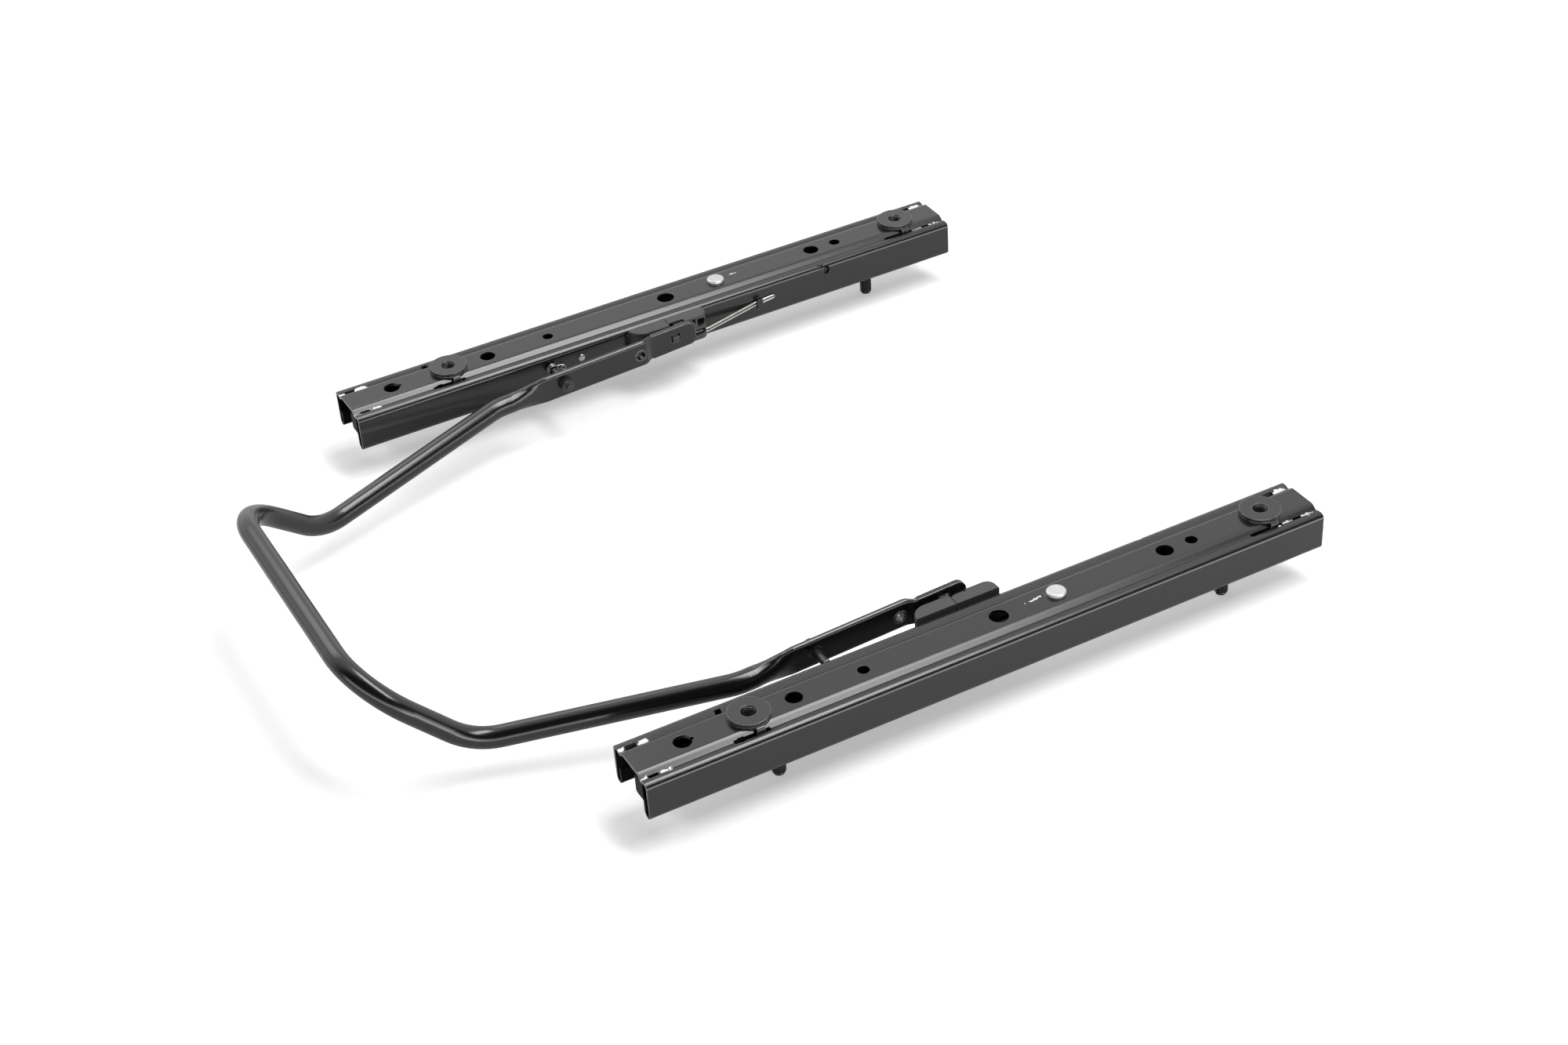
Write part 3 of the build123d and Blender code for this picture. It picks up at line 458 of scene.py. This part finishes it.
def moulded_plastic():
    """Fine spark-eroded grain of the latch housings, dark along the seam of their halves."""
    material, tree, shader = new_material("moulded_housing")
    place = object_place(tree)
    grain = noise(tree, place, scale=2400.0, detail=3.0, roughness=0.6)[0]
    cloud = noise(tree, place, scale=60.0, detail=3.0)[0]
    worn_lit = place_group(tree, worn_lit_edges, Radius=0.3 * MM, Amount=0.5)["Mask"]
    base = mix_colour(tree, cloud, HOUSING_DARK, HOUSING_LIGHT)
    base = mix_colour(tree, worn_lit, base, HOUSING_WORN)
    from_seam = maths(tree, "ABSOLUTE", maths(tree, "SUBTRACT", split(tree, place)[0], housing_seam))
    seam = maths(tree, "LESS_THAN", from_seam, SEAM_HALF)
    base = mix_colour(tree, seam, base, SEAM_BLACK)
    gloss = mix_value(tree, seam, ramp(tree, cloud, *NOISE_SPAN, *HOUSING_GLOSS), 1.0)
    relief = bump(tree, grain, distance=0.08 * MM, strength=0.5)
    fill(tree, shader, Base_Color=base, Roughness=gloss, Normal=relief)
    return material


# How a noise is stretched into drawing lines along an axis
DRAWN_ALONG = {"X": (0.04, 1, 1), "Y": (1, 0.04, 1), "": (1, 1, 1)}
FILM_SPAN = (0.3, 0.75)


def plated(name, colour, rough, axis, blotch):
    """Zinc plate or bright steel with drawing lines and a slightly cloudy passivated film."""
    material, tree, shader = new_material(name)
    place = object_place(tree)
    pulled = node(tree, "ShaderNodeMapping", Vector=place, Scale=DRAWN_ALONG[axis]).outputs[0]
    lines = noise(tree, pulled, scale=3000.0, detail=2.0)[0]
    film = ramp(tree, noise(tree, place, scale=220.0, detail=4.0)[0], *FILM_SPAN)
    base = mix_colour(tree, film, toned(1, colour), toned(1 - blotch, colour))
    gloss = uneven(tree, lines, rough, less=0.06, more=0.10)
    relief = bump(tree, lines, distance=0.03 * MM, strength=0.4)
    fill(tree, shader, Base_Color=base, Metallic=1.0, Roughness=gloss, Normal=relief)
    return material


def plain_plastic(name, dark, light, rough):
    """Smooth moulded plastic with faint flow clouds, between two greys."""
    material, tree, shader = new_material(name)
    place = object_place(tree)
    cloud = noise(tree, place, scale=150.0, detail=3.0)[0]
    fine = noise(tree, place, scale=1800.0, detail=2.0)[0]
    base = mix_colour(tree, cloud, (dark, dark, dark, 1), (light, light, light, 1))
    gloss = uneven(tree, cloud, rough, less=0.05, more=0.06)
    relief = bump(tree, fine, distance=0.05 * MM, strength=0.3)
    fill(tree, shader, Base_Color=base, Roughness=gloss, Normal=relief)
    return material


def paint(finish, *names):
    """Gives CAD nodes one finish."""
    for name in names:
        for slot in nodes[name].material_slots:
            slot.material = finish


def on_both(*kinds):
    return [f"{side}_{kind}" for side in SIDES for kind in kinds]


def paint_steel():
    for side, sign in SIDES.items():
        coat = rail_coat(f"{side}_rail_coat", rail_marks(side), streaks=0.5, wear=0.6,
                         inside_y=sign * rail_y)
        paint(coat, f"{side}_upper_rail")
    paint(rail_coat("lower_coat", rough=0.36), *on_both("lower_rail"))
    paint(rail_coat("stop_coat", rough=0.5), *on_both("stop_block"))
    # The discs' edges are fully lightened: mostly a painted highlight along their rims
    paint(rail_coat("disc_coat", tone=0.011, rough=0.27, edge=0.8 * MM, wear=1.0),
          *on_both("bolt_discs"))
    paint(rail_coat("tube_coat", tone=0.0045, rough=0.20, edge=1.2 * MM, wear=0.8), "handle_loop")
    paint(rail_coat("pin_coat", tone=0.016, rough=0.34), *on_both("pivot_pin", "pin_clip"))
    paint(rail_coat("lock_plate_coat", tone=0.02, rough=0.42), *on_both("lock_plate"))


def paint_plastic():
    paint(moulded_plastic(), *on_both("latch_housing", "housing_cap"))
    paint(plain_plastic("bush_plastic", dark=0.010, light=0.016, rough=0.35), "lever_bushes")
    # The cage's near-black grey is painted shade: it stands in for the dark seen through the rail's
    # holes
    paint(plain_plastic("cage_nylon", dark=0.016, light=0.028, rough=0.42), *on_both("ball_cage"))


def paint_bright_metal():
    paint(plated("zinc_wire", (0.30, 0.295, 0.28), rough=0.30, axis="X", blotch=0.25),
          *on_both("latch_spring"))
    paint(plated("coil_wire", (0.30, 0.29, 0.28), rough=0.26, axis="Y", blotch=0.45),
          *on_both("pin_coil"))
    paint(plated("rivet_zinc", (0.50, 0.50, 0.497), rough=0.38, axis="", blotch=0.12),
          *on_both("stop_rivet", "wall_rivet"))
    paint(plated("ball_steel", (0.60, 0.60, 0.61), rough=0.12, axis="", blotch=0.05),
          *on_both("track_balls"))


SOLID_CREASE, STUD_CREASE = math.radians(28), math.radians(50)


def smooth_solids():
    """Smooth shading on the CAD nodes, split at their sharp edges."""
    for thing in nodes.values():
        smooth_mesh(thing.data)
        thing.modifiers.new("crisp", "EDGE_SPLIT").split_angle = SOLID_CREASE


# Screw threads

NUT_CREST, NUT_ROOT, NUT_PITCH, NUT_FLAT = 3.72 * MM, 4.20 * MM, 1.5 * MM, 1.35
NUT_BELOW_TOP, NUT_ABOVE_BOTTOM = 0.6 * MM, 0.5 * MM
NUT_STEPS, NUT_RINGS_PER_TURN = 32, 8


def ridge(turns):
    """Swings between 1 and 0 once in a turn."""
    return abs(2 * (turns % 1.0) - 1)


def ring_faces(first, rings, steps):
    """Quads between rings of points that are numbered from first."""
    faces = []
    for i in range(rings - 1):
        for k in range(steps):
            a = first + i * steps + k
            b = first + i * steps + (k + 1) % steps
            faces.append((a, b, b + steps, a + steps))
    return faces


def nut_thread(name, x, y):
    """The threaded wall of a disc's bore, a sleeve between its crest and its root."""
    bottom = disc_low.z + NUT_ABOVE_BOTTOM
    top = disc_high.z - NUT_BELOW_TOP
    count = round((top - bottom) / NUT_PITCH * NUT_RINGS_PER_TURN)
    points = []
    for i in range(count + 1):
        z = bottom + (top - bottom) * i / count
        for k in range(NUT_STEPS):
            turn = k / NUT_STEPS
            wave = ridge((z - bottom) / NUT_PITCH - turn)
            radius = NUT_ROOT + (NUT_CREST - NUT_ROOT) * min(1.0, NUT_FLAT * wave)
            angle = 2 * math.pi * turn
            points.append((x + radius * math.cos(angle), y + radius * math.sin(angle), z))
    mesh = bpy.data.meshes.new(name)
    mesh.from_pydata(points, [], ring_faces(0, count + 1, NUT_STEPS))
    smooth_mesh(mesh)
    return add_piece(name, mesh)


def add_nut_threads(finish):
    for side, sign in SIDES.items():
        for label, x in zip(("front", "rear"), disc_xs):
            thread = nut_thread(f"{side}_{label}_nut_thread", x, sign * rail_y)
            thread.data.materials.append(finish)
            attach(thread, f"{side}_slider")


STUD_CREST, STUD_ROOT, STUD_PITCH, STUD_FLAT = 4.0 * MM, 3.32 * MM, 1.25 * MM, 1.15
STUD_NECK, STUD_HEAD, BASE_SHEET = 4.3 * MM, 6.5 * MM, 2.0 * MM
STUD_POINT_IN, STUD_POINT_UP = 0.3 * MM, 0.7 * MM
THREAD_TOP, NECK_TOP = -0.9 * MM, -0.2 * MM
HEAD_EDGE_IN, HEAD_EDGE_DOWN = 0.5 * MM, 0.4 * MM
STUD_STEPS, STUD_RINGS_PER_TURN, STUD_FADE_RINGS = 36, 10, 8
WELD_DISTANCE = 1e-7


def stud_rings(bottom, top):
    """(z, radius, how much of the thread shows) up a stud, from its end to its flat head."""
    start = bottom + STUD_POINT_UP
    rings = [(bottom, 0.0, 0), (bottom, STUD_ROOT - STUD_POINT_IN, 0), (start, STUD_ROOT, 0)]
    count = round((THREAD_TOP - start) / STUD_PITCH * STUD_RINGS_PER_TURN)
    for i in range(1, count):
        share = min(1.0, i / STUD_FADE_RINGS, (count - i) / STUD_FADE_RINGS)
        rings.append((start + (THREAD_TOP - start) * i / count, STUD_ROOT, share))
    rings += [(THREAD_TOP, STUD_ROOT, 0), (NECK_TOP, STUD_ROOT, 0), (NECK_TOP, STUD_NECK, 0),
              (BASE_SHEET, STUD_NECK, 0), (BASE_SHEET, STUD_HEAD, 0),
              (top - HEAD_EDGE_DOWN, STUD_HEAD, 0), (top, STUD_HEAD - HEAD_EDGE_IN, 0), (top, 0.0, 0)]
    return rings


def stud_points(x, y, rings):
    points = []
    for z, radius, share in rings:
        for k in range(STUD_STEPS):
            wave = ridge(z / STUD_PITCH - k / STUD_STEPS)
            reach = radius + (STUD_CREST - STUD_ROOT) * min(1.0, STUD_FLAT * wave) * share
            angle = 2 * math.pi * k / STUD_STEPS
            points.append((x + reach * math.cos(angle), y + reach * math.sin(angle), z))
    return points


def add_floor_studs(finish):
    """The four threaded studs as one piece, which stands for the plain turned ones."""
    low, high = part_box("floor_studs")
    rings = stud_rings(low.z, high.z)
    points, faces = [], []
    for x in (low.x + STUD_HEAD, high.x - STUD_HEAD):
        for y in (low.y + STUD_HEAD, high.y - STUD_HEAD):
            faces += ring_faces(len(points), len(rings), STUD_STEPS)
            points += stud_points(x, y, rings)
    mesh = bpy.data.meshes.new("threaded_studs")
    mesh.from_pydata(points, [], faces)
    work = bmesh.new()
    work.from_mesh(mesh)
    bmesh.ops.remove_doubles(work, verts=work.verts, dist=WELD_DISTANCE)
    work.to_mesh(mesh)
    work.free()
    smooth_mesh(mesh)
    studs = add_piece("threaded_studs", mesh)
    studs.modifiers.new("crisp", "EDGE_SPLIT").split_angle = STUD_CREASE
    mesh.materials.append(finish)
    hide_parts("floor_studs")
    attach(studs, "floor_rails")


# Spring hooks

HOOK_WIRE, HOOK_RADIUS, HOOK_TURNS, HOOK_WIDTH = 0.55 * MM, 1.5 * MM, 1.6, 1.9 * MM
HOOK_BEHIND_COIL, HOOK_BELOW_COIL = 3.6 * MM, 1.4 * MM
WIRE_OVER_COIL, WIRE_ABOVE_HOOK = 1.2 * MM, 0.3 * MM
HOOK_STEPS = 20


def hook_route(side, sign):
    """The wire's middle line, from the pivot coil round the hook."""
    low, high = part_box(f"{side}_pin_coil")
    wall = max((low.y, high.y), key=abs) - sign * HOOK_WIRE
    centre = Vector((high.x + HOOK_BEHIND_COIL, wall, (low.z + high.z) / 2 - HOOK_BELOW_COIL))
    route = [Vector((high.x - WIRE_OVER_COIL, wall, centre.z + HOOK_RADIUS + WIRE_ABOVE_HOOK))]
    for i in range(HOOK_STEPS + 1):
        turn = math.pi / 2 - 2 * math.pi * HOOK_TURNS * i / HOOK_STEPS
        route.append(centre + Vector((HOOK_RADIUS * math.cos(turn), -sign * HOOK_WIDTH * i / HOOK_STEPS,
                                      HOOK_RADIUS * math.sin(turn))))
    return route


def add_spring_hooks(finish):
    """The bent end of each return spring, hooked on the rail wall behind the pivot."""
    for side, sign in SIDES.items():
        route = hook_route(side, sign)
        curve = bpy.data.curves.new(f"{side}_spring_hook", "CURVE")
        curve.dimensions = "3D"
        curve.bevel_depth = HOOK_WIRE
        curve.bevel_resolution = 3
        curve.use_fill_caps = True
        spline = curve.splines.new("NURBS")
        spline.points.add(len(route) - 1)
        for point, spot in zip(spline.points, route):
            point.co = (*spot, 1)
        spline.order_u = 3
        spline.use_endpoint_u = True
        hook = add_piece(f"{side}_spring_hook", curve)
        curve.materials.append(finish)
        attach(hook, f"{side}_slider")


# Studio

WHITE = (1, 1, 1, 1)
FLOOR_REACH, FLOOR_GREY = 6.0, (0.80, 0.80, 0.80, 1)
FLOOR_SHOWN, FLOOR_MIRRORED = 0.35, 0.02


def ray_masks(tree):
    """1 on camera rays, and 1 on rays that were mirrored or went through glass."""
    path = node(tree, "ShaderNodeLightPath").outputs
    mirrored = maths(tree, "MAXIMUM", path["Is Glossy Ray"], path["Is Transmission Ray"])
    return path["Is Camera Ray"], mirrored


def add_floor():
    mesh = bpy.data.meshes.new("studio_floor")
    ways = ((-1, -1), (1, -1), (1, 1), (-1, 1))
    corners = [(x * FLOOR_REACH, y * FLOOR_REACH, floor_z) for x, y in ways]
    mesh.from_pydata(corners, [], [(0, 1, 2, 3)])
    floor = add_piece("studio_floor", mesh)
    material, tree, shader = new_material("studio_floor")
    seen, mirrored = ray_masks(tree)
    glow = maths(tree, "ADD", maths(tree, "MULTIPLY", seen, FLOOR_SHOWN),
                 maths(tree, "MULTIPLY", mirrored, FLOOR_MIRRORED))
    fill(tree, shader, Base_Color=FLOOR_GREY, Roughness=0.9, Specular_IOR_Level=0.1,
         Emission_Color=WHITE, Emission_Strength=glow)
    floor.data.materials.append(material)


WORLD_LIGHT = 0.38
# The mirrored room: dark before the object, bright behind it, with a low bright card in front.
# Depths and heights are parts of a direction's unit vector, the depth away from the camera.
ROOM_DEPTHS, ROOM_LIGHTS = (-0.22, 0.15), (0.02, 1.3)
CARD_BOTTOM, CARD_TOP, CARD_DEPTHS, CARD_LIGHT = (0.0, 0.04), (0.34, 0.26), (-0.25, -0.40), 3.8


def add_world():
    world = bpy.data.worlds.new("studio")
    bpy.context.scene.world = world
    world.use_nodes = True
    tree = world.node_tree
    x, y, z = split(tree, node(tree, "ShaderNodeTexCoord").outputs["Generated"])
    azimuth = math.radians(CAMERA_AZIMUTH)
    depth = maths(tree, "ADD", maths(tree, "MULTIPLY", x, -math.sin(azimuth)),
                  maths(tree, "MULTIPLY", y, math.cos(azimuth)))
    card = maths(tree, "MULTIPLY", ramp(tree, z, *CARD_BOTTOM), ramp(tree, z, *CARD_TOP))
    card = maths(tree, "MULTIPLY", card, ramp(tree, depth, *CARD_DEPTHS, 0.0, CARD_LIGHT))
    room = maths(tree, "ADD", ramp(tree, depth, *ROOM_DEPTHS, *ROOM_LIGHTS), card)
    seen, mirrored = ray_masks(tree)
    strength = mix_value(tree, seen, mix_value(tree, mirrored, WORLD_LIGHT, room), 1.0)
    fill(tree, tree.nodes["Background"], Color=WHITE, Strength=strength)


def add_softbox(name, place, aim, along, across, watts, turned=0):
    """A rectangular lamp; its first side runs along the rails, turned by some degrees."""
    data = bpy.data.lights.new(name, "AREA")
    data.shape = "RECTANGLE"
    data.size = along
    data.size_y = across
    data.energy = watts
    lamp = add_piece(name, data)
    back = (Vector(place) - Vector(aim)).normalized()
    right = Vector((math.cos(math.radians(turned)), math.sin(math.radians(turned)), 0))
    right = (right - back * right.dot(back)).normalized()
    turn = Matrix((right, back.cross(right), back)).transposed().to_4x4()
    lamp.matrix_world = Matrix.Translation(place) @ turn


def add_lights():
    add_softbox("top_softbox", place=(0.57, -0.48, 2.0), aim=(0.57, -0.48, 0), along=0.62, across=1.9,
                watts=43, turned=16)
    add_softbox("front_strip", place=(0.6, -1.6, floor_z + 0.10), aim=(0, 0, floor_z + 0.02),
                along=2.6, across=0.16, watts=12)
    add_softbox("rear_softbox", place=(-0.4, 1.6, 1.7), aim=(0, 0, 0), along=1.6, across=0.8, watts=9)


add_camera()
paint_steel()
paint_plastic()
paint_bright_metal()
smooth_solids()
add_nut_threads(plated("nut_thread_steel", (0.20, 0.195, 0.19), rough=0.30, axis="", blotch=0.2))
add_floor_studs(rail_coat("stud_thread_coat", tone=0.014, rough=0.26, edge=0))
add_spring_hooks(plated("hook_wire", (0.46, 0.455, 0.44), rough=0.24, axis="Y", blotch=0.4))
add_floor()
add_world()
add_lights()
bpy.context.scene.view_settings.view_transform = "Standard"
